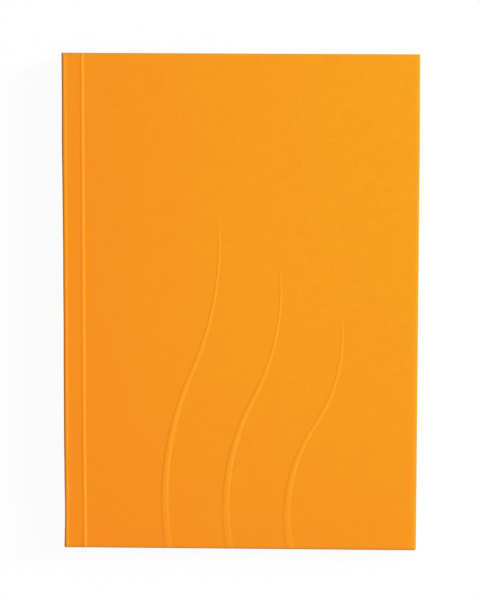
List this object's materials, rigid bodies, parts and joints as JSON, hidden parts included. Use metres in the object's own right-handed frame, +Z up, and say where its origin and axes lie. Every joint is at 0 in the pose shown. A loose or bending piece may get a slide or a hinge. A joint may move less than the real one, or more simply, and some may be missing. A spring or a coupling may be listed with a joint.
{
  "type": "softcover notebook",
  "caption": "Softcover notebook whose blank leaves are glued into a folded card cover, with wavy raised ribs on the front and a crease on which each cover opens.",
  "frame": {"origin": "middle of the underside, on the surface that the notebook lies on", "axes": "+X from the spine to the fore-edge, +Y to the head of the page, +Z up out of the front cover"},
  "size_m": [0.15, 0.21, 0.0122],
  "materials": {
    "cover_card": "matte",
    "leaves": "matte",
    "glue": "satin"
  },
  "bodies": {
    "block": {"page_block": "leaves", "binding_glue": "glue", "cover_spine": "cover_card"},
    "front": {"front_cover": "cover_card"},
    "back": {"back_cover": "cover_card"}
  },
  "joints": [
    {"name": "front_crease", "type": "hinge", "parent": "block", "child": "front", "pos_m": [-0.0665, 0, 0.0122], "axis": [0, -1, 0], "range_deg": [0, 178]},
    {"name": "back_crease", "type": "hinge", "parent": "block", "child": "back", "pos_m": [-0.0665, 0, 0], "axis": [0, 1, 0], "range_deg": [0, 178]}
  ]
}
